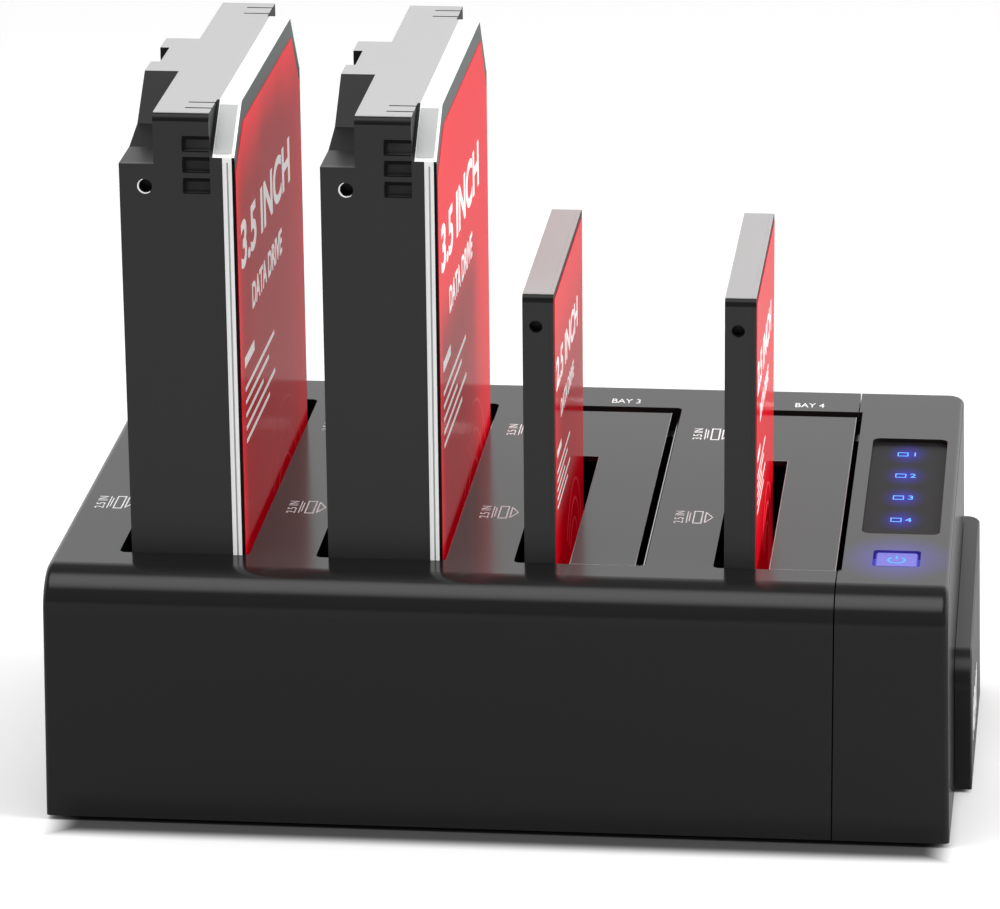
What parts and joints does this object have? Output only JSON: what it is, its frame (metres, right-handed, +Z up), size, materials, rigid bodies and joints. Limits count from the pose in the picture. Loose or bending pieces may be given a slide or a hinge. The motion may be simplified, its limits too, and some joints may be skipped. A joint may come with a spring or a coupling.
{
  "type": "drive duplicator",
  "caption": "Docking station that copies drives: a sloped housing with sprung bay flaps, seated drives, a lit display strip and a push button.",
  "frame": {"origin": "centre of the whole part's box, on the surface that the feet stand on", "axes": "+X to the right along the row of bays, +Y to the rear, +Z up; the deck rises towards the rear by 6.5 degrees about X, and the bays and drives are square to the deck"},
  "size_m": [0.212, 0.1526, 0.1765],
  "materials": {
    "housing_gloss_black": "moulded, glossy, black",
    "pod_satin_black": "moulded, satin, black",
    "base_matte_black": "moulded, fine texture",
    "foot_rubber": "matte",
    "smoked_lens": "smoked clear sheet",
    "circuit_board": "solder mask, green",
    "blue_lamp": "lamp package",
    "switch_black": "moulded",
    "chip_black": "moulded",
    "coil_grey": "moulded",
    "port_shell": "plated sheet",
    "screw_steel": "plated",
    "spring_steel": "drawn wire",
    "button_violet": "translucent, lit from behind",
    "liner_matte_black": "moulded",
    "flap_satin_black": "moulded, satin",
    "socket_black": "moulded",
    "drive_casting": "die cast, blasted",
    "drive_cover": "stamped sheet",
    "label_red": "printed film"
  },
  "bodies": {
    "dock": {"main_housing": "housing_gloss_black", "control_housing": "housing_gloss_black", "side_pod": "pod_satin_black", "base_plate": "base_matte_black", "rubber_feet": "foot_rubber", "display_lens": "smoked_lens", "control_board": "circuit_board", "status_lights": "blue_lamp", "power_switch": "switch_black", "light_shield": "liner_matte_black", "main_board": "circuit_board", "board_chips": "chip_black", "board_coils": "coil_grey", "usb_port": "port_shell", "power_jack": "switch_black", "housing_screws": "screw_steel", "bay_liner_1": "liner_matte_black", "drive_socket_1": "socket_black", "bay_liner_2": "liner_matte_black", "drive_socket_2": "socket_black", "bay_liner_3": "liner_matte_black", "drive_socket_3": "socket_black", "bay_liner_4": "liner_matte_black", "drive_socket_4": "socket_black"},
    "flap_1": {"flap_1": "flap_satin_black", "flap_pin_1": "screw_steel", "flap_spring_1": "spring_steel"},
    "flap_2": {"flap_2": "flap_satin_black", "flap_pin_2": "screw_steel", "flap_spring_2": "spring_steel"},
    "flap_3": {"flap_3": "flap_satin_black", "flap_pin_3": "screw_steel", "flap_spring_3": "spring_steel"},
    "flap_4": {"flap_4": "flap_satin_black", "flap_pin_4": "screw_steel", "flap_spring_4": "spring_steel"},
    "power_button": {"power_button": "button_violet"},
    "drive_1": {"drive_1_casting": "drive_casting", "drive_1_cover": "drive_cover", "drive_1_label": "label_red", "drive_1_board": "circuit_board", "drive_1_connector": "socket_black"},
    "drive_2": {"drive_2_casting": "drive_casting", "drive_2_cover": "drive_cover", "drive_2_label": "label_red", "drive_2_board": "circuit_board", "drive_2_connector": "socket_black"},
    "drive_3": {"drive_3_case": "drive_casting", "drive_3_cover": "drive_cover", "drive_3_label": "label_red", "drive_3_connector": "socket_black"},
    "drive_4": {"drive_4_case": "drive_casting", "drive_4_cover": "drive_cover", "drive_4_label": "label_red", "drive_4_connector": "socket_black"}
  },
  "joints": [
    {"name": "flap_1_hinge", "type": "hinge", "parent": "dock", "child": "flap_1", "pos_m": [-0.05679, -0.00436, 0.06468], "axis": [0, -0.9936, -0.113], "range_deg": [0, 4], "stiffness_Nm_per_rad": 0.005, "springref_deg": -124.33},
    {"name": "flap_2_hinge", "type": "hinge", "parent": "dock", "child": "flap_2", "pos_m": [-0.0114, -0.00436, 0.06468], "axis": [0, -0.9936, -0.113], "range_deg": [0, 4], "stiffness_Nm_per_rad": 0.005, "springref_deg": -124.33},
    {"name": "flap_3_hinge", "type": "hinge", "parent": "dock", "child": "flap_3", "pos_m": [0.03401, -0.00436, 0.06468], "axis": [0, -0.9936, -0.113], "range_deg": [0, 88], "stiffness_Nm_per_rad": 0.005, "springref_deg": -34.38},
    {"name": "flap_4_hinge", "type": "hinge", "parent": "dock", "child": "flap_4", "pos_m": [0.07941, -0.00436, 0.06468], "axis": [0, -0.9936, -0.113], "range_deg": [0, 88], "stiffness_Nm_per_rad": 0.005, "springref_deg": -34.38},
    {"name": "power_button_slide", "type": "slide", "parent": "dock", "child": "power_button", "axis": [0, 0.113, -0.9936], "range_m": [0, 0.0008], "stiffness_N_per_m": 600, "springref_m": -0.001},
    {"name": "drive_1_slide", "type": "slide", "parent": "dock", "child": "drive_1", "axis": [0, -0.113, 0.9936], "range_m": [0, 0.08]},
    {"name": "drive_2_slide", "type": "slide", "parent": "dock", "child": "drive_2", "axis": [0, -0.113, 0.9936], "range_m": [0, 0.08]},
    {"name": "drive_3_slide", "type": "slide", "parent": "dock", "child": "drive_3", "axis": [0, -0.113, 0.9936], "range_m": [0, 0.08]},
    {"name": "drive_4_slide", "type": "slide", "parent": "dock", "child": "drive_4", "axis": [0, -0.113, 0.9936], "range_m": [0, 0.08]}
  ]
}
